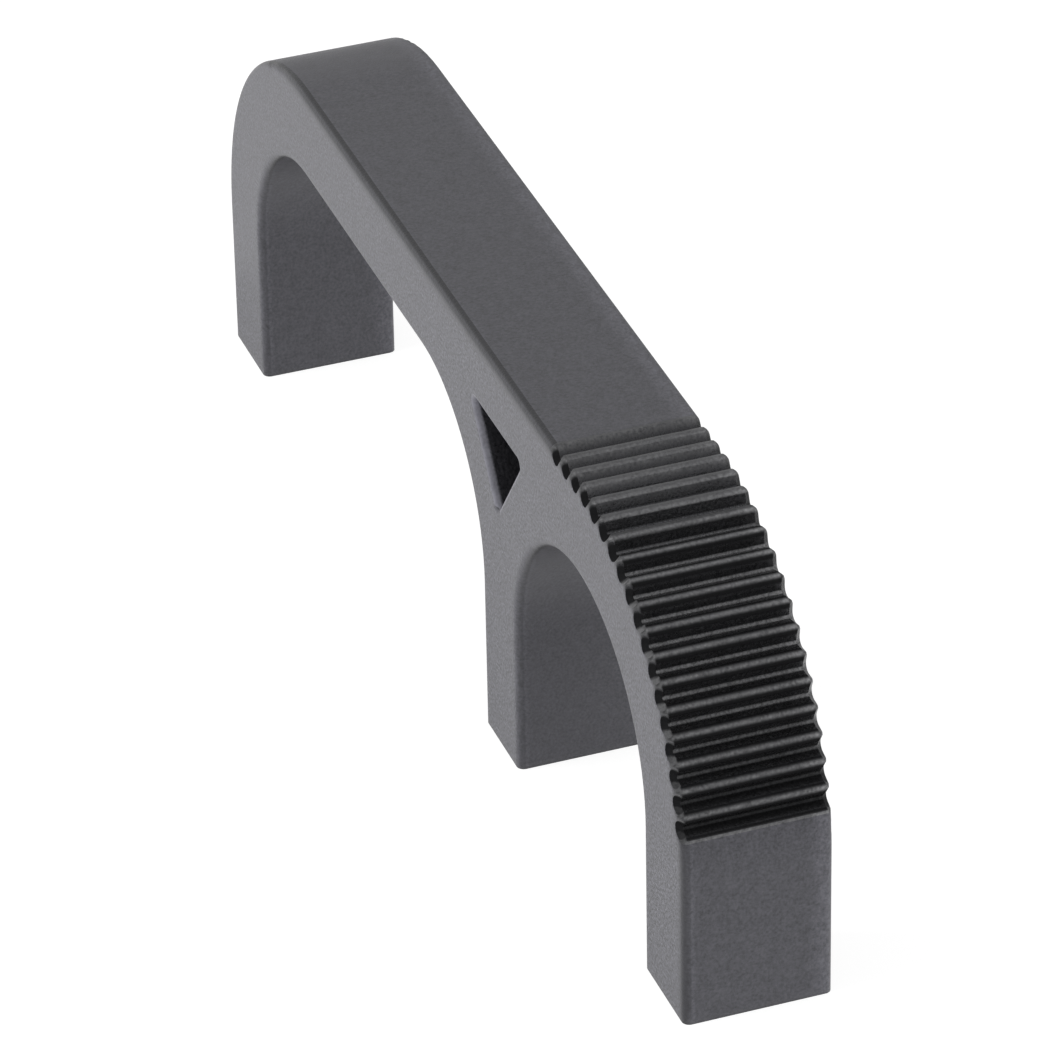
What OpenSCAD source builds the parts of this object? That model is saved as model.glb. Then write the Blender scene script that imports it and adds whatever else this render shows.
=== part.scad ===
// Finger pull: one moulded bridge handle on three feet, with a ribbed shoulder for the thumb.
// Millimetres, +Z up. Origin: middle of the length and of the width, on the plane of the feet.
// +X points to the ribbed end, +Y across the bar.

/* [Bar and legs] */
// Width of the whole handle, across the fingers
width = 15; // [12:0.5:30]
// Height over the bar
height = 44.25; // [40:0.25:60]
// Thickness of the bar and of the far leg
bar = 10.25; // [9:0.25:14]
// Thickness of the ribbed near leg
near_leg = 10.5; // [9:0.25:14]
// Thickness of the inner leg
inner_leg = 9.75; // [8:0.25:14]
// Radius along the long edges and round the window
edge = 0.75; // [0.4:0.05:1]

/* [Finger openings] */
// Length of the far opening, for three fingers
far_gap = 71; // [60:0.5:100]
// Length of the near opening, for one finger; its top is a half circle
near_gap = 35; // [30:0.5:40]
// Inside corner radius of the far opening
far_round = 17.25; // [12:0.25:22]

/* [Window in the web] */
// Straight length of each sloping side of the triangular window
window_slant = 10; // [6:0.1:11]
// Depth of the window's top side below the top of the bar
window_cover = 7.55; // [7:0.05:10]
// Radius in the three corners of the window
window_round = 0.4; // [0.3:0.05:0.8]

/* [Ribs] */
// Number of grooves that part the ribs
grooves = 18; // [4:1:18]
// Distance from groove to groove, along the outside
groove_pitch = 2.575; // [2.5:0.025:2.65]
// Distance of the lowest groove from the foot of the round corner, along the outside
groove_start = 5.45; // [3:0.05:8]
// Depth of a groove
groove_depth = 1.05; // [1:0.05:1.25]
// Radius in the bottom of a groove
groove_round = 0.25; // [0.2:0.05:0.35]
// Width of the chamfer at both ends of a groove
groove_flare = 0.55; // [0.3:0.05:0.7]
// Radius of the crown on each rib
rib_round = 1; // [1:0.05:1.5]

/* [Screw holes] */
// Core diameter of the tapped hole in each end foot
core_d = 4.2; // [3.3:0.1:5]
// Depth of the full core below the foot
core_depth = 12; // [8:0.5:14]
// Distance between the two screws
screw_pitch = 126; // [110:0.5:160]
// Width of the chamfer round the mouth of each hole
mouth_chamfer = 0.4; // [0.2:0.1:0.8]

/* [Hidden] */

$fn = 96;
over = 1;
drill_tip = 118;

half_w = width / 2;
length = near_leg + near_gap + inner_leg + far_gap + bar;
near_x = length / 2;
far_x = -length / 2;

// Near arch and ribbed corner share one axis
arch_r = near_gap / 2;
near_r = arch_r + near_leg;
near_cx = near_x - near_r;
near_cz = height - near_r;

// Far corner: outside and inside share one axis
far_r = far_round + bar;
far_cx = far_x + far_r;
far_cz = height - far_r;

// Middle of the inner leg
leg_mid = near_x - near_leg - near_gap - inner_leg / 2;

// Sides of the window and of the grooves rise 4 for every 3 across
side_angle = atan(4 / 3);

// Triangle between the centres of the window's corner arcs
core_top = height - window_cover - window_round;
core_low = core_top - window_slant * 4 / 5;
core_half = window_slant * 3 / 5;

// Screw holes, centred on the part's length as near as the legs allow
screw_near_x = near_x - near_leg / 2;
screw_far_x = screw_near_x - screw_pitch;

// Length of the round corner on the outside, where the grooves start
corner_run = near_r * PI / 2;

// Crowns of the ribs: how far they lie below the outside, and how deep they are cut
rib_sink = 0.03;
rib_cut = 0.25;

// Turns a drawing into the XZ plane; its second axis points up, its depth runs along Y
module stand() {
    rotate([90, 0, 0]) children();
}

// What a rounded long edge takes off a section: the corner outside the radius, at reach r
module edge_waste(r) {
    for (side = [0, 1]) mirror([0, side])
        difference() {
            translate([r - edge, half_w - edge]) square([edge + over, edge + over]);
            translate([r - edge, half_w - edge]) circle(edge);
        }
}

// Section of the body from reach r0 out to reach r, its two outer edges rounded
module solid_section(r, r0 = 0) {
    difference() {
        translate([r0, -half_w]) square([r - r0, width]);
        edge_waste(r);
    }
}

// Section of an opening from reach r0 out to reach r, widened over the rounded edges of its rim
module open_section(r, r0 = 0) {
    translate([r0, -half_w - over]) square([r - r0, width + 2 * over]);
    for (side = [0, 1]) mirror([0, side])
        difference() {
            translate([r, half_w - edge]) square([edge, edge + over]);
            translate([r + edge, half_w - edge]) circle(edge);
        }
}

// Sweeps a section round an axis along Y, from the angle start through the angle turn
module bend(start, turn) {
    stand() rotate(start) rotate_extrude(angle = turn) children();
}

// Straight run of a section down from the level of the axis, its reach towards +X or -X
module drop(run, way) {
    rotate(way > 0 ? [180, 0, 0] : [0, 180, 0]) linear_extrude(run) children();
}

// Straight run of a section along +X, its reach upwards
module level(run) {
    rotate([0, -90, 180]) linear_extrude(run) children();
}

// The whole outside: three blocks and two round corners
module outside() {
    run = length - far_r - near_r;
    translate([far_cx, 0, 0]) {
        translate([0, 0, far_cz]) {
            bend(90, 90) solid_section(far_r);
            drop(far_cz, -1) solid_section(far_r);
            level(run) solid_section(far_r, -far_cz);
        }
        translate([run, 0, near_cz]) {
            bend(0, 90) solid_section(near_r);
            drop(near_cz, 1) solid_section(near_r);
        }
    }
}

// The far opening: flat underside of the bar between two quarter turns
module far_opening() {
    run = far_gap - 2 * far_round;
    depth = far_cz + over;
    translate([far_cx, 0, far_cz]) {
        bend(90, 90) open_section(far_round);
        drop(depth, -1) open_section(far_round);
        level(run) open_section(far_round, -depth);
        translate([run, 0, 0]) {
            bend(0, 90) open_section(far_round);
            drop(depth, 1) open_section(far_round);
        }
    }
}

// The near opening: a half circle on two upright walls
module near_opening() {
    translate([near_cx, 0, near_cz]) {
        bend(0, 180) open_section(arch_r);
        for (way = [-1, 1]) drop(near_cz + over, way) open_section(arch_r);
    }
}

// Section of a groove from reach r0 out to reach r, chamfered at both ends
module groove_section(r, r0 = 0) {
    for (side = [0, 1]) mirror([0, side])
        polygon([[r0, 0], [r, 0], [r, half_w - groove_flare],
            [r + groove_flare + over, half_w + over], [r0, half_w + over]]);
}

// Straight run of a section in the XZ plane along a heading, its reach to the right of the heading
module along(x, z, heading, run) {
    translate([x, 0, z]) stand() rotate(heading)
        rotate([0, 90, 0]) rotate(-90) linear_extrude(run) children();
}

// Full turn of a section round an axis along Y
module ring(x, z) {
    translate([x, 0, z]) stand() rotate_extrude() children();
}

// One side of the window along a heading, with the round corner at its first end
module window_side(x, z, heading, run) {
    along(x, z, heading, run) open_section(window_round, -window_round);
    ring(x, z) open_section(window_round);
}

// Triangular window through the web, point down
module window() {
    translate([leg_mid, 0, 0]) {
        stand() linear_extrude(width + 2 * over, center = true)
            polygon([[0, core_low], [core_half, core_top], [-core_half, core_top]]);
        window_side(0, core_low, side_angle, window_slant);
        window_side(core_half, core_top, 180, 2 * core_half);
        window_side(-core_half, core_top, -side_angle, window_slant);
    }
}

// One groove with a round bottom, run across the width, the outside at z = 0
module groove() {
    low = groove_round - groove_depth;
    rise = over - low;
    stand() linear_extrude(width + 2 * over, center = true)
        polygon([[0, low], [rise * 3 / 4, over], [-rise * 3 / 4, over]]);
    for (side = [0, 1]) mirror([side, 0, 0])
        along(0, low, side_angle, rise * 5 / 4) groove_section(groove_round, -groove_round);
    ring(0, low) groove_section(groove_round);
}

// What the crown takes off a rib, the outside at z = 0
module rib_waste() {
    stand() linear_extrude(width + 2 * over, center = true)
        difference() {
            translate([-groove_pitch / 4, -rib_cut]) square([groove_pitch / 2, rib_cut + over]);
            translate([0, -rib_round - rib_sink]) circle(rib_round);
        }
}

// Sets a cutter on the outside: up the round corner, then on along the flat top
module on_outside(run) {
    if (run < corner_run)
        translate([near_cx, 0, near_cz]) rotate([0, 90 - run / near_r * 180 / PI, 0])
            translate([0, 0, near_r]) children();
    else
        translate([near_cx - (run - corner_run), 0, height]) children();
}

// The grooves, and the crowns of the ribs between them
module ribbing() {
    for (i = [0 : grooves - 1]) on_outside(groove_start + i * groove_pitch) groove();
    for (i = [1 : grooves - 1]) on_outside(groove_start + (i - 0.5) * groove_pitch) rib_waste();
}

// Tapped hole in a foot: chamfered mouth, core and drill point
module screw_hole(x) {
    tip = core_d / 2 / tan(drill_tip / 2);
    translate([x, 0, -over]) cylinder(h = core_depth + over, d = core_d);
    translate([x, 0, core_depth]) cylinder(h = tip, d1 = core_d, d2 = 0);
    translate([x, 0, -over])
        cylinder(h = mouth_chamfer + over, r1 = core_d / 2 + mouth_chamfer + over, r2 = core_d / 2);
}

module pull() {
    color([0.23, 0.23, 0.24])
    difference() {
        outside();
        far_opening();
        near_opening();
        window();
        ribbing();
        screw_hole(screw_near_x);
        screw_hole(screw_far_x);
    }
}

pull();
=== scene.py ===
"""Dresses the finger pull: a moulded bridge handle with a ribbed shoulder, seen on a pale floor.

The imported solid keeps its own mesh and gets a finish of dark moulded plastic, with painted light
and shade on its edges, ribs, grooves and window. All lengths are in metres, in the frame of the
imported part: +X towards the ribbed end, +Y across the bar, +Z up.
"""

import logging
import math
from dataclasses import dataclass, field
from enum import Enum

import bpy
from mathutils import Matrix, Vector

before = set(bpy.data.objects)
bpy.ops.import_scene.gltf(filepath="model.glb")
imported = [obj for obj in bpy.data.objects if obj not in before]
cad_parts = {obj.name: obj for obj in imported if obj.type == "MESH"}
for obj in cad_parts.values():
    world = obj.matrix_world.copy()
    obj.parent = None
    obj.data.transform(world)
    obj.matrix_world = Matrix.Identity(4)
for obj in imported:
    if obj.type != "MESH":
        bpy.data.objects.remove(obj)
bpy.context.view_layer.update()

MM = 0.001
WHITE = (1.0, 1.0, 1.0)
FULL_TURN = 2.0 * math.pi
NOISE_MIDDLE = 0.5

log = logging.getLogger("finger_pull")

Colour = tuple[float, float, float]
Place = tuple[float, float, float]
Span = tuple[float, float]
Term = "Value | float"


class Maths(Enum):
    """The operations of a Math node that the finishes use."""

    ADD = "ADD"
    SUBTRACT = "SUBTRACT"
    MULTIPLY = "MULTIPLY"
    DIVIDE = "DIVIDE"
    MAXIMUM = "MAXIMUM"
    MINIMUM = "MINIMUM"
    ABSOLUTE = "ABSOLUTE"
    SQUARE_ROOT = "SQRT"
    ARCTANGENT = "ARCTAN2"
    FRACTION = "FRACT"
    FOLD = "PINGPONG"
    GREATER = "GREATER_THAN"
    LESS = "LESS_THAN"


class Mixed(Enum):
    """What a Mix node mixes: its data type, the sockets of its two inputs, and its output."""

    COLOUR = ("RGBA", 6, 7, 2)
    VECTOR = ("VECTOR", 4, 5, 1)


class Value:
    """A socket of a node tree that takes part in Python arithmetic."""

    def __init__(self, graph: "Graph", socket: bpy.types.NodeSocket) -> None:
        """Wraps a socket.

        Args:
            graph: The node tree that the socket belongs to.
            socket: The output socket.
        """
        self.graph = graph
        self.socket = socket

    def __add__(self, other: Term) -> "Value":
        """Sum."""
        return self.graph.maths(Maths.ADD, self, other)

    __radd__ = __add__

    def __mul__(self, other: Term) -> "Value":
        """Product."""
        return self.graph.maths(Maths.MULTIPLY, self, other)

    __rmul__ = __mul__

    def __sub__(self, other: Term) -> "Value":
        """Difference."""
        return self.graph.maths(Maths.SUBTRACT, self, other)

    def __rsub__(self, other: Term) -> "Value":
        """Difference with the number first, so that 1 - mask works."""
        return self.graph.maths(Maths.SUBTRACT, other, self)

    def __truediv__(self, other: Term) -> "Value":
        """Quotient."""
        return self.graph.maths(Maths.DIVIDE, self, other)

    def __rtruediv__(self, other: Term) -> "Value":
        """Quotient with the number first."""
        return self.graph.maths(Maths.DIVIDE, other, self)

    def __abs__(self) -> "Value":
        """Size without its sign."""
        return self.graph.maths(Maths.ABSOLUTE, self)

    def __gt__(self, other: Term) -> "Value":
        """One where this value is the greater, zero elsewhere."""
        return self.graph.maths(Maths.GREATER, self, other)

    def __lt__(self, other: Term) -> "Value":
        """One where this value is the smaller, zero elsewhere."""
        return self.graph.maths(Maths.LESS, self, other)

    def root(self) -> "Value":
        """Square root."""
        return self.graph.maths(Maths.SQUARE_ROOT, self)

    def most(self, other: Term) -> "Value":
        """The greater of two."""
        return self.graph.maths(Maths.MAXIMUM, self, other)

    def least(self, other: Term) -> "Value":
        """The smaller of two."""
        return self.graph.maths(Maths.MINIMUM, self, other)

    def rise(self, span: Span) -> "Value":
        """Rises smoothly from 0 to 1.

        Args:
            span: The values at which the rise starts and is complete; the second may be the lower.

        Returns:
            The smooth step.
        """
        return self.graph.add(
            "ShaderNodeMapRange",
            {"interpolation_type": "SMOOTHSTEP", "clamp": True},
            {"Value": self, "From Min": span[0], "From Max": span[1], "To Min": 0.0, "To Max": 1.0},
        )

    def fall(self, span: Span) -> "Value":
        """Falls smoothly from 1 to 0 over a span."""
        return 1.0 - self.rise(span)


def opaque(colour: "Colour | Value") -> "tuple[float, ...] | Value":
    """A colour as a socket takes it: four numbers, or the Value that carries it."""
    return colour if isinstance(colour, Value) else (*colour, 1.0)


class Graph:
    """A node tree that is written as expressions."""

    def __init__(self, tree: bpy.types.NodeTree) -> None:
        """Clears a node tree.

        Args:
            tree: The tree to write into.
        """
        self.tree = tree
        tree.nodes.clear()

    def node(
        self, kind: str, settings: dict | None = None, inputs: dict | None = None
    ) -> bpy.types.Node:
        """Adds one node.

        Args:
            kind: The node's type name.
            settings: Properties of the node, set first.
            inputs: Socket names or numbers, with a Value to link or a plain value to set.

        Returns:
            The new node.
        """
        made = self.tree.nodes.new(kind)
        for name, setting in (settings or {}).items():
            setattr(made, name, setting)
        for name, value in (inputs or {}).items():
            if isinstance(value, Value):
                self.tree.links.new(value.socket, made.inputs[name])
            else:
                made.inputs[name].default_value = value
        return made

    def add(
        self,
        kind: str,
        settings: dict | None = None,
        inputs: dict | None = None,
        output: str | int = 0,
    ) -> Value:
        """Adds one node and returns one of its outputs.

        Args:
            kind: The node's type name.
            settings: Properties of the node, set first.
            inputs: Socket names or numbers, with a Value to link or a plain value to set.
            output: Name or number of the wanted output.

        Returns:
            The output, ready for arithmetic.
        """
        return Value(self, self.node(kind, settings, inputs).outputs[output])

    def maths(self, operation: Maths, *terms: Term) -> Value:
        """Adds a Math node.

        Args:
            operation: What it does.
            *terms: One or two numbers or values.

        Returns:
            The result.
        """
        return self.add("ShaderNodeMath", {"operation": operation.value}, dict(enumerate(terms)))

    def split(self, vector: Value) -> tuple[Value, Value, Value]:
        """The three parts of a vector."""
        parts = self.node("ShaderNodeSeparateXYZ", inputs={"Vector": vector})
        return tuple(Value(self, output) for output in parts.outputs)

    def mix(
        self, kind: Mixed, factor: Value, first: "Colour | Value", second: "Colour | Value"
    ) -> Value:
        """Mixes two colours or two vectors.

        Args:
            kind: Which of the two it mixes.
            factor: 0 gives the first, 1 gives the second.
            first: Colour, or a Value that carries a colour or vector.
            second: The same.

        Returns:
            What lies between them.
        """
        data_type, low, high, output = kind.value
        settings = {"data_type": data_type, "clamp_factor": True}
        inputs = {"Factor": factor, low: opaque(first), high: opaque(second)}
        return self.add("ShaderNodeMix", settings, inputs, output)

    def noise(self, where: Value, size: float, detail: float, roughness: float) -> Value:
        """Cloudy noise from 0 to 1.

        Args:
            where: The point it is read at.
            size: Length of one cloud.
            detail: Number of finer layers.
            roughness: Strength of the finer layers.

        Returns:
            The noise.
        """
        return self.add(
            "ShaderNodeTexNoise",
            {"noise_dimensions": "3D"},
            {"Vector": where, "Scale": 1.0 / size, "Detail": detail, "Roughness": roughness},
        )

    def diffuse(self, colour: Colour) -> Value:
        """A matte shader."""
        return self.add("ShaderNodeBsdfDiffuse", inputs={"Color": opaque(colour)})

    def emission(self, strength: Term) -> Value:
        """A shader that gives off white light."""
        inputs = {"Color": opaque(WHITE), "Strength": strength}
        return self.add("ShaderNodeEmission", inputs=inputs)

    def layer(self, factor: Value, under: Value, over: Value) -> Value:
        """Mixes two shaders: 0 gives the one under, 1 the one over."""
        return self.add("ShaderNodeMixShader", inputs={0: factor, 1: under, 2: over})


def new_material(name: str) -> tuple[bpy.types.Material, Graph]:
    """Starts a node material.

    Args:
        name: The material's name.

    Returns:
        The material and its empty graph.
    """
    material = bpy.data.materials.new(name)
    material.use_nodes = True
    return material, Graph(material.node_tree)


@dataclass(frozen=True)
class Outline:
    """The sizes of the moulding that the finish refers to."""

    half_width: float = 7.5 * MM
    edge: float = 0.75 * MM
    axis_x: float = 40.25 * MM
    axis_z: float = 16.25 * MM
    reach: float = 28.0 * MM
    groove_depth: float = 1.05 * MM
    groove_start: float = 5.45 * MM
    groove_pitch: float = 2.575 * MM
    grooves: int = 18
    window_x: float = 18.0 * MM
    window_z: float = 32.5 * MM
    window_reach: float = 7.2 * MM
    window_rise: float = 4.8 * MM
    screw_x: float = 63.0 * MM
    screw_bore: float = 2.15 * MM
    screw_mouth: float = 0.4 * MM
    screw_depth: float = 12.0 * MM
    thread_pitch: float = 0.8 * MM


@dataclass(frozen=True)
class EdgeSpans:
    """Where the finish changes over sides and rounded edges.

    A span named after the rim runs across the rounding, from 0 where it starts to 1 on the side,
    and rim_least is the share of its painted shade on edges that stand upright. The other spans
    are shares of the surface's direction, except pale, which lies across the bar.
    """

    side: Span = (0.97, 0.995)
    level: Span = (0.3, 0.8)
    top: Span = (0.6, 0.95)
    end_face: float = 0.8
    pale: Span = (4.5 * MM, 7.2 * MM)
    rim_start: Span = (0.03, 0.15)
    rim_end: Span = (0.6, 1.02)
    rim_least: float = 0.3
    rim_upright: Span = (0.1, 0.9)
    rim_gleam_start: Span = (-0.7, -0.2)
    rim_gleam_end: Span = (-0.1, 0.08)
    rim_window_wall: Span = (-0.1, 0.1)
    rim_window: Span = (0.05, 0.4)


@dataclass(frozen=True)
class RibSpans:
    """Where the finish changes over the ribbed shoulder.

    Spans of depth are in metres below the outside. Spans of turn are angles in radians round the
    corner, from 0 at its foot. Spans of rib are shares of the pitch, from groove to groove.
    """

    reach: float = 1.6
    turn_flat: Span = (math.radians(76), math.radians(88))
    rib_middle: float = 0.53
    rib_shift: float = 0.28
    turn_shift: Span = (math.radians(60), math.radians(92))
    rib_crest: Span = (0.01, 0.17)
    rib_ledge_start: Span = (0.45, 0.55)
    rib_ledge_end: Span = (0.74, 0.9)
    turn_ledge_end: Span = (1.0, 1.2)
    depth_border: Span = (0.5 * MM, 1.9 * MM)
    depth_steep: Span = (0.1 * MM, 0.25 * MM)
    depth_flat: Span = (0.0, 0.9 * MM)
    depth_root: Span = (0.9 * MM, 1.03 * MM)
    turn_root_start: Span = (-0.3, 1.0)
    turn_root_end: Span = (1.1, 1.28)
    turn_low: Span = (0.2, 0.6)
    low_share: float = 0.8
    depth_low: Span = (0.2 * MM, 0.4 * MM)
    depth_flank: Span = (0.15 * MM, 0.55 * MM)
    rim_flank: Span = (0.2, 0.6)
    turn_shade_start: float = 0.16
    turn_shade_end: Span = (1.15, 1.35)
    ending: Span = (0.35, 0.6)
    depth_pocket: Span = (0.15 * MM, 0.5 * MM)
    far_pocket: float = 0.2
    forward: Span = (0.05, 0.35)


@dataclass(frozen=True)
class Point:
    """A point of the surface, its direction, and its place across the rounded edges."""

    where: Value
    x: Value
    y: Value
    z: Value
    normal: Value
    normal_x: Value
    normal_y: Value
    normal_z: Value
    side: Value
    rim: Value
    near_side: Value


@dataclass(frozen=True)
class EdgeMasks:
    """What the finish tells apart on sides, edges and window, each from 0 to 1."""

    rounding: Value
    seam: Value
    pale: Value
    gleam: Value
    upright: Value
    window: Value
    window_wall: Value
    window_rim: Value


@dataclass(frozen=True)
class RibPlace:
    """Where a point lies on the ribbed shoulder."""

    depth: Value
    turn: Value
    flat: Value
    zone: Value
    crest: Value
    border: Value
    upward: Value


@dataclass(frozen=True)
class RibMasks:
    """What the finish tells apart on the ribbed shoulder, each from 0 to 1."""

    zone: Value
    border: Value
    groove: Value
    crest_highlight: Value
    root: Value
    shaded: Value
    ledge: Value
    groove_end_shade: Value
    forward: Value


@dataclass(frozen=True)
class MouldedPlastic:
    """Dark grey plastic: grained flat faces, smoother edges, painted shade on edges and in grooves.
    """

    outline: Outline = field(default_factory=Outline)
    edges: EdgeSpans = field(default_factory=EdgeSpans)
    ribbing: RibSpans = field(default_factory=RibSpans)

    face: Colour = (0.051, 0.0505, 0.058)
    # Painted shade along the rounded edges of the near side.
    edge: Colour = (0.01, 0.01, 0.0105)
    # Painted shade in the grooves and inside the window.
    groove: Colour = (0.009, 0.009, 0.0095)
    rib: Colour = (0.045, 0.045, 0.046)
    # Painted highlight along the crests of the ribs.
    crest: Colour = (0.1, 0.1, 0.102)
    # Painted highlight along the bottoms of the grooves.
    root: Colour = (0.108, 0.108, 0.11)
    # Colour of the dark matte shader that is mixed in as painted shade.
    hollow_shade: Colour = (0.008, 0.008, 0.0085)
    sheen: Colour = (0.935, 0.938, 1.0)
    gloss_index: float = 1.55

    face_roughness: float = 0.42
    edge_roughness: float = 0.35
    groove_roughness: float = 0.28
    grain_roughness: float = 0.35

    # Painted light on the far side's edges, a line on end faces, forward crests and the window's
    # rim.
    pale: float = 0.75
    gleam: float = 0.3
    forward: float = 0.9
    window_rim: float = 1.3
    # Painted shade inside the window, as a share of the grooves' shade.
    window_wall: float = 0.6
    window_calm: float = 0.7
    # Painted shade on the border of the sides.
    border: float = 0.65
    # Shares of the dark matte shader painted as shade on flanks, groove ends and the near top edge.
    shaded: float = 0.95
    groove_end_shade: float = 0.98
    seam: float = 0.14

    soft_edge: float = 1.1 * MM
    soft_samples: int = 6
    grain_size: float = 0.3 * MM
    grain_layers: Span = (3.0, 0.6)
    grain_height: float = 0.05 * MM
    grain_strength: float = 0.9
    grain_tone: float = 2.5
    side_grain_tone: float = 4.5
    mottle_size: float = 1.2 * MM
    mottle_layers: Span = (2.0, 0.5)
    mottle_tone: float = 0.6
    thread_height: float = 0.4 * MM

    def point(self, graph: Graph) -> Point:
        """Reads the point that is shaded.

        Args:
            graph: The graph to write into.

        Returns:
            The point in the part's own frame.
        """
        o = self.outline
        where = graph.add("ShaderNodeTexCoord", output="Object")
        normal = graph.add("ShaderNodeNewGeometry", output="Normal")
        x, y, z = graph.split(where)
        normal_x, normal_y, normal_z = graph.split(normal)
        side = abs(normal_y).rise(self.edges.side)
        rim = (abs(y) - (o.half_width - o.edge)) / o.edge
        return Point(
            where, x, y, z, normal, normal_x, normal_y, normal_z, side, rim, near_side=y < 0.0
        )

    def edge_masks(self, at: Point) -> EdgeMasks:
        """Tells sides, rounded edges and window apart.

        Args:
            at: The point that is shaded.

        Returns:
            The masks: the near side's rounded edges and the painted shade along them, the painted
            highlight on the opposite edge, the painted highlight line on end faces, what faces the
            near side, and the window.
        """
        o, e = self.outline, self.edges
        round_edge = 1.0 - at.side
        level = abs(at.normal_z)
        # Painted shade along the near side's rounded edges, weaker where they stand upright.
        rounding = at.rim.rise(e.rim_start) * at.rim.fall(e.rim_end) * round_edge * at.near_side
        rounding = rounding * (e.rim_least + level.rise(e.level) * (1.0 - e.rim_least))
        along = abs(at.x - o.window_x) < o.window_reach
        window = along * (abs(at.z - o.window_z) < o.window_rise)
        # Painted highlight: a light line on the end face where the near side's rounding begins.
        gleam = at.rim.rise(e.rim_gleam_start) * at.rim.fall(e.rim_gleam_end)
        facing_side = at.rim.rise(e.rim_upright) * level.fall(e.level) * at.near_side
        return EdgeMasks(
            rounding=rounding,
            # Painted shade along the near top edge.
            seam=rounding * level.rise(e.top),
            # Painted highlight on the rounded edges of the far side.
            pale=at.y.rise(e.pale) * round_edge,
            gleam=gleam * (at.normal_x > e.end_face) * at.near_side,
            upright=at.side.most(facing_side),
            window=window,
            # Painted shade on the walls inside the window.
            window_wall=window * at.rim.fall(e.rim_window_wall),
            # Painted highlight on the window's rim.
            window_rim=window * at.rim.rise(e.rim_window) * round_edge,
        )

    def rib_place(self, graph: Graph, at: Point) -> RibPlace:
        """Finds the place of a point on the ribbed shoulder.

        Args:
            graph: The graph to write into.
            at: The point that is shaded.

        Returns:
            Depth below the outside, angle round the corner, how flat the outside lies, 1 in the
            ribbed zone, where the painted highlight runs along the crest of each rib, the border of
            the sides, and the flank of each groove that faces up.
        """
        o, r = self.outline, self.ribbing
        across = (at.x - o.axis_x).most(0.0)
        up = (at.z - o.axis_z).most(0.0)
        edge = at.rim.most(0.0).least(1.0)
        drop = (1.0 - (1.0 - edge * edge).most(0.0).root()) * o.edge
        outer = o.reach - (across * across + up * up).root()
        depth = outer - drop
        turn = graph.maths(Maths.ARCTANGENT, up, across)
        run = turn * o.reach + (o.axis_x - at.x).most(0.0) - o.groove_start
        margin = o.groove_pitch / 2
        end = (o.grooves - 1) * o.groove_pitch + margin
        zone = (run > -margin) * (run < end) * (depth < o.groove_depth * r.reach)
        rib = graph.maths(Maths.FRACTION, run / o.groove_pitch)
        middle = r.rib_middle - turn.rise(r.turn_shift) * r.rib_shift
        upward = rib.rise(r.rib_ledge_start) * rib.fall(r.rib_ledge_end)
        return RibPlace(
            depth=depth,
            turn=turn,
            flat=turn.rise(r.turn_flat),
            zone=zone * (1.0 - at.side),
            crest=abs(rib - middle).fall(r.rib_crest),
            border=outer.fall(r.depth_border),
            upward=upward * turn.fall(r.turn_ledge_end),
        )

    def rib_masks(self, graph: Graph, at: Point) -> RibMasks:
        """Tells crests, flanks, grooves and their ends apart.

        Args:
            graph: The graph to write into.
            at: The point that is shaded.

        Returns:
            The masks: ribbed zone, painted shade on the border of the sides, painted shade in the
            grooves, painted highlights on the crests and in the grooves' bottoms, painted shade on
            the flanks, the ends of the grooves, left unshaded where they face up and painted dark
            elsewhere, and painted highlights on the crests that face forward.
        """
        r = self.ribbing
        place = self.rib_place(graph, at)
        depth, turn, zone = place.depth, place.turn, place.zone
        curved = 1.0 - place.flat
        steep = depth.rise(r.depth_steep)
        ending = abs(at.normal_y).rise(r.ending) * zone
        ledge = ending * place.upward
        # Where the grooves are painted dark as shade.
        groove = (steep * curved + depth.rise(r.depth_flat) * place.flat) * zone
        # Painted highlight along the bottoms of the grooves.
        root = depth.rise(r.depth_root) * turn.rise(r.turn_root_start) * zone
        # Painted shade on the flanks, and more of it in the lowest grooves.
        flank = (1.0 - place.crest) * depth.fall(r.depth_flank) * at.rim.fall(r.rim_flank)
        low = depth.rise(r.depth_low) * turn.fall(r.turn_low) * r.low_share
        shaded = flank.most(low) * curved * zone
        # Painted shade on the ends of the grooves, weaker on the far side.
        groove_end_shade = ending * depth.rise(r.depth_pocket)
        groove_end_shade = groove_end_shade * (r.far_pocket + at.near_side * (1.0 - r.far_pocket))
        return RibMasks(
            zone=zone,
            border=place.border,
            groove=groove * (1.0 - ledge),
            # Painted highlight along the crests of the ribs.
            crest_highlight=place.crest * (1.0 - steep) * curved * zone,
            root=root * turn.fall(r.turn_root_end),
            shaded=shaded * (turn > r.turn_shade_start) * turn.fall(r.turn_shade_end),
            ledge=ledge,
            groove_end_shade=groove_end_shade * (1.0 - place.upward),
            # Painted highlight on the ribs of the flat top where they lean forward.
            forward=at.normal_x.rise(r.forward) * place.flat * zone,
        )

    def thread(self, graph: Graph, at: Point) -> tuple[Value, Value]:
        """Finds the screw thread on the wall of the two holes in the end feet.

        Args:
            graph: The graph to write into.
            at: The point that is shaded.

        Returns:
            1 on the threaded wall, and the height of the thread there from 0 to 1.
        """
        o = self.outline
        end = (at.x > 0.0) * 2.0 - 1.0
        across = at.x - end * o.screw_x
        bore = (across * across + at.y * at.y).root() < o.screw_bore
        wall = bore * (at.z > o.screw_mouth) * (at.z < o.screw_depth)
        turn = graph.maths(Maths.ARCTANGENT, at.y, across) / FULL_TURN
        above_zero = at.z / o.thread_pitch - turn + 1.0
        half_pitch = 0.5
        return wall, graph.maths(Maths.FOLD, above_zero, half_pitch) / half_pitch

    def material(self) -> bpy.types.Material:
        """Builds the finish.

        Returns:
            The material.
        """
        material, graph = new_material("moulded_plastic")
        at = self.point(graph)
        edges = self.edge_masks(at)
        ribs = self.rib_masks(graph, at)
        plain = (1.0 - edges.window) * (1.0 - ribs.zone)
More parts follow.
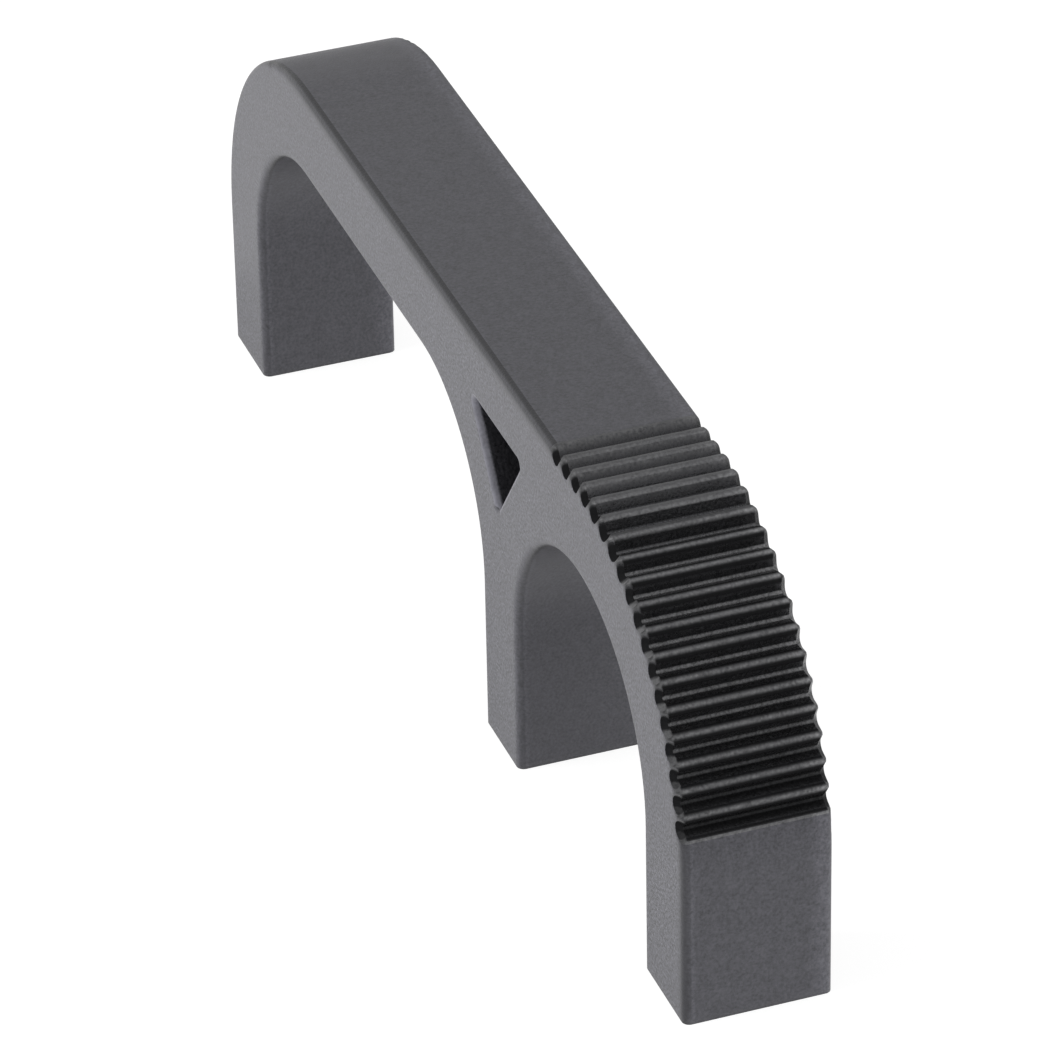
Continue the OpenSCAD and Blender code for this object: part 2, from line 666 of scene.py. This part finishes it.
        # Painted shade along the near side's rounded edges, which are also smoother.
        painted_edge_shade = edges.rounding * plain
        # Painted shade in the grooves and, at a share, on the walls inside the window; it also sets
        # their roughness.
        hollow_shade = ribs.groove.most(edges.window_wall * self.window_wall)
        calm = 1.0 - edges.window_rim * self.window_calm

        grain = graph.noise(at.where, self.grain_size, *self.grain_layers)
        mottle = graph.noise(at.where, self.mottle_size, *self.mottle_layers)
        speck, cloud = grain - NOISE_MIDDLE, mottle - NOISE_MIDDLE
        tone = speck * (at.side * self.side_grain_tone + self.grain_tone) * calm
        tone = tone + cloud * self.mottle_tone + 1.0
        # Painted light on the far side's edges, a line on end faces, forward crests and the
        # window's rim; painted shade on the border of the sides.
        light = edges.pale * self.pale + edges.gleam * self.gleam + ribs.forward * self.forward
        light = light + edges.window_rim * self.window_rim
        tone = tone * (1.0 + light - ribs.border * edges.upright * self.border)

        colour: Colour | Value = self.face
        # Over the face colour: painted shade on the near edges, the ribs' own colour, painted
        # highlights on the crests, painted shade in the grooves, painted highlights in their
        # bottoms, and the ends of the grooves that face up left unshaded.
        for mask, paint in (
            (painted_edge_shade, self.edge),
            (ribs.zone, self.rib),
            (ribs.crest_highlight, self.crest),
            (hollow_shade, self.groove),
            (ribs.root, self.root),
            (ribs.ledge, self.rib),
        ):
            colour = graph.mix(Mixed.COLOUR, mask, colour, paint)
        scale = {"operation": "SCALE"}
        toned = graph.add("ShaderNodeVectorMath", scale, {0: colour, "Scale": tone})

        roughness = self.face_roughness - painted_edge_shade * (self.face_roughness - self.edge_roughness)
        roughness = roughness + hollow_shade * (self.groove_roughness - roughness)
        roughness = roughness + speck * self.grain_roughness

        soft = graph.add(
            "ShaderNodeBevel", {"samples": self.soft_samples}, {"Radius": self.soft_edge}
        )
        crisp = ribs.zone.most(edges.window)
        threaded, thread = self.thread(graph, at)
        cut = thread * self.thread_height / self.grain_height
        bump = graph.add(
            "ShaderNodeBump",
            inputs={
                "Strength": self.grain_strength,
                "Distance": self.grain_height,
                "Height": grain * calm + threaded * (cut - grain),
                "Normal": graph.mix(Mixed.VECTOR, crisp, soft, at.normal),
            },
        )
        plastic = graph.add(
            "ShaderNodeBsdfPrincipled",
            inputs={
                "Base Color": toned,
                "Roughness": roughness,
                "Normal": bump,
                "IOR": self.gloss_index,
                "Specular Tint": opaque(self.sheen),
            },
        )
        # Painted shade: a dark matte shader mixed in on the flanks, the groove ends and the near
        # top edge.
        dark = (ribs.shaded * self.shaded).most(ribs.groove_end_shade * self.groove_end_shade)
        dark = dark.most(edges.seam * self.seam)
        shown = graph.layer(dark, plastic, graph.diffuse(self.hollow_shade))
        graph.node("ShaderNodeOutputMaterial", inputs={"Surface": shown})
        return material


@dataclass
class FingerPull:
    """The one-piece handle."""

    node: str = "pull"
    finish: MouldedPlastic = field(default_factory=MouldedPlastic)

    def dress(self) -> bpy.types.Object:
        """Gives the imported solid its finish.

        Returns:
            The dressed object.
        """
        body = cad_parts[self.node]
        material = self.finish.material()
        for slot in body.material_slots:
            slot.material = material
        return body


@dataclass(frozen=True)
class AreaLamp:
    """A soft square lamp that the gloss doesn't show."""

    name: str
    place: Place
    power: float
    aim: Place = (0.0, 0.0, 0.02)
    size: float = 0.6

    def build(self) -> bpy.types.Object:
        """Hangs the lamp and turns it to its aim.

        Returns:
            The lamp.
        """
        data = bpy.data.lights.new(self.name, "AREA")
        data.shape = "SQUARE"
        data.size = self.size
        data.energy = self.power
        heading = Vector(self.aim) - Vector(self.place)
        lamp = bpy.data.objects.new(self.name, data)
        lamp.location = self.place
        lamp.rotation_euler = heading.to_track_quat("-Z", "Y").to_euler()
        lamp.visible_glossy = False
        bpy.context.scene.collection.objects.link(lamp)
        return lamp


@dataclass(frozen=True)
class Rays:
    """Masks of the rays that see the room itself: the camera's, and the reflected ones."""

    camera: Value
    gloss: Value

    @classmethod
    def read(cls, graph: Graph) -> "Rays":
        """Tells the kinds of rays apart.

        Args:
            graph: The graph to write into.

        Returns:
            The masks of the rays.
        """
        path = graph.node("ShaderNodeLightPath")
        camera, glossy, clear = (
            Value(graph, path.outputs[f"Is {kind} Ray"])
            for kind in ("Camera", "Glossy", "Transmission")
        )
        camera = camera.most(clear)
        return cls(camera, glossy * (1.0 - camera))


@dataclass(frozen=True)
class Room:
    """White room: plain light from all round, and what the gloss sees of its walls.

    A span is a share of the direction in which the gloss looks: along the bar, across it, or up.
    """

    ambient: float = 0.5
    backdrop: float = 1.0
    front_level: float = 0.06
    behind: Span = (-0.3, -0.55)
    far_left: Span = (-0.5, 0.2)
    far_left_level: float = 0.7
    wall_foot: Span = (0.15, 0.52)
    wall_width: Span = (0.45, 0.7)
    wall_level: float = 0.9
    ceiling: Span = (0.86, 0.95)
    ceiling_level: float = 1.9

    def horizon(self, x: Value, y: Value) -> Value:
        """Light of the room near the horizon, as the gloss sees it.

        Args:
            x: Share of the direction along the bar.
            y: Share of the direction across it.

        Returns:
            The strength: dark in front and to the sides, paler behind the far end.
        """
        level = 1.0 - y.rise(self.far_left) * (1.0 - self.far_left_level)
        far = level * self.backdrop - self.front_level
        return self.front_level + x.rise(self.behind) * far

    def build(self) -> None:
        """Lights the object evenly, and shows white behind it and in its gloss."""
        world = bpy.data.worlds.new("white_room")
        bpy.context.scene.world = world
        world.use_nodes = True
        graph = Graph(world.node_tree)
        x, y, height = graph.split(graph.add("ShaderNodeTexCoord", output="Generated"))
        wall = height.rise(self.wall_foot) * abs(x).rise(self.wall_width)
        low = self.horizon(x, y)
        gloss = low + wall * (self.wall_level - low)
        gloss = gloss + height.rise(self.ceiling) * (self.ceiling_level - gloss)
        rays = Rays.read(graph)
        strength = self.ambient + rays.camera * (self.backdrop - self.ambient)
        strength = strength + rays.gloss * (gloss - self.ambient)
        inputs = {"Color": opaque(WHITE), "Strength": strength}
        light = graph.add("ShaderNodeBackground", inputs=inputs)
        graph.node("ShaderNodeOutputWorld", inputs={"Surface": light})


@dataclass(frozen=True)
class Floor:
    """Plain pale floor, just under the feet, which hides nothing from below."""

    room: Room
    size: float = 6.0
    gap: float = 0.02 * MM
    bounce: float = 0.8
    shade: float = 0.25
    white: float = 0.88
    gloss: float = 1.18
    gloss_spread: Span = (0.12, 0.4)
    shadow: float = 0.22
    shadow_start: float = -0.0075
    shadow_end: Span = (-0.008, -0.03)
    shadow_reach: float = 0.08
    behind: float = 0.5
    behind_span: Span = (0.03, 0.08)

    def mesh(self) -> bpy.types.Mesh:
        """One square face.

        Returns:
            The mesh.
        """
        half, low = self.size / 2, -self.gap
        corners = [(x * half, y * half, low) for x, y in ((-1, -1), (1, -1), (1, 1), (-1, 1))]
        mesh = bpy.data.meshes.new("floor")
        mesh.from_pydata(corners, [], [(0, 1, 2, 3)])
        return mesh

    def gloss_level(self, graph: Graph) -> Value:
        """Light of the floor as the gloss of the object sees it.

        Args:
            graph: The graph to write into.

        Returns:
            The strength: white round the object, darker close to its near side and behind it, and
            like the room's horizon far off.
        """
        x, y, _ = graph.split(graph.add("ShaderNodeTexCoord", output="Object"))
        reach = (x * x + y * y).root()
        near = reach.fall(self.gloss_spread)
        far = self.room.horizon(x / reach, y / reach)
        close = y.fall(self.shadow_end) * (y < self.shadow_start) * (abs(x) < self.shadow_reach)
        level = (far + near * (self.gloss - far)) * (1.0 - close * self.shadow)
        return level * (1.0 - y.rise(self.behind_span) * self.behind)

    def material(self) -> bpy.types.Material:
        """A floor that is white to the camera, with the object's shadow, and pale to the light.

        Returns:
            The material.
        """
        material, graph = new_material("pale_floor")
        rays = Rays.read(graph)
        shade, glow = graph.diffuse((self.shade,) * 3), graph.emission(self.white)
        bright = graph.add("ShaderNodeAddShader", inputs={0: shade, 1: glow})
        shown = graph.layer(rays.camera, graph.diffuse((self.bounce,) * 3), bright)
        shown = graph.layer(rays.gloss, shown, graph.emission(self.gloss_level(graph)))
        below = graph.add("ShaderNodeNewGeometry", output="Backfacing") * rays.camera
        shown = graph.layer(below, shown, graph.add("ShaderNodeBsdfTransparent"))
        graph.node("ShaderNodeOutputMaterial", inputs={"Surface": shown})
        return material

    def build(self) -> bpy.types.Object:
        """Lays the floor.

        Returns:
            The floor.
        """
        mesh = self.mesh()
        mesh.materials.append(self.material())
        floor = bpy.data.objects.new("floor", mesh)
        bpy.context.scene.collection.objects.link(floor)
        return floor


@dataclass
class Studio:
    """The room, its floor and two lamps."""

    room: Room = field(default_factory=Room)
    lamps: tuple[AreaLamp, ...] = (
        AreaLamp("lamp_side", (-0.1, -1.1, 0.25), 16.0),
        AreaLamp("lamp_front", (1.1, 0.1, 0.25), 4.0),
    )

    def build(self) -> None:
        """Sets up the whole room."""
        self.room.build()
        Floor(self.room).build()
        for lamp in self.lamps:
            lamp.build()


@dataclass(frozen=True)
class PhotoView:
    """The camera: it looks down on the ribbed end from in front and slightly to the side."""

    place: Place = (555.3733 * MM, -192.9241 * MM, 385.9947 * MM)
    azimuth: float = 70.634
    elevation: float = 32.4082
    roll: float = -1.1382
    lens: float = 233.8725
    sensor: float = 36.0
    nearest: float = 0.01

    def build(self) -> bpy.types.Object:
        """Sets the camera.

        Returns:
            The camera.
        """
        angles = (self.azimuth, self.elevation, self.roll)
        azimuth, elevation, roll = (math.radians(angle) for angle in angles)
        back = Vector((
            math.sin(azimuth) * math.cos(elevation),
            -math.cos(azimuth) * math.cos(elevation),
            math.sin(elevation),
        ))
        level = Vector((0.0, 0.0, 1.0)).cross(back).normalized()
        upright = back.cross(level)
        right = math.cos(roll) * level + math.sin(roll) * upright
        up = math.cos(roll) * upright - math.sin(roll) * level
        turned = Matrix((right, up, back)).transposed().to_4x4()
        data = bpy.data.cameras.new("photo_view")
        data.lens = self.lens
        data.sensor_width = self.sensor
        data.clip_start = self.nearest
        camera = bpy.data.objects.new("photo_view", data)
        camera.matrix_world = Matrix.Translation(self.place) @ turned
        bpy.context.scene.collection.objects.link(camera)
        bpy.context.scene.camera = camera
        return camera


def main() -> None:
    """Builds the camera, the dressed handle and the room, in that order."""
    logging.basicConfig(level=logging.INFO, format="%(message)s")
    bpy.context.scene.view_settings.view_transform = "Standard"
    PhotoView().build()
    body = FingerPull().dress()
    log.info("%s: %d faces", body.name, len(body.data.polygons))
    Studio().build()


if __name__ == "__main__":
    main()
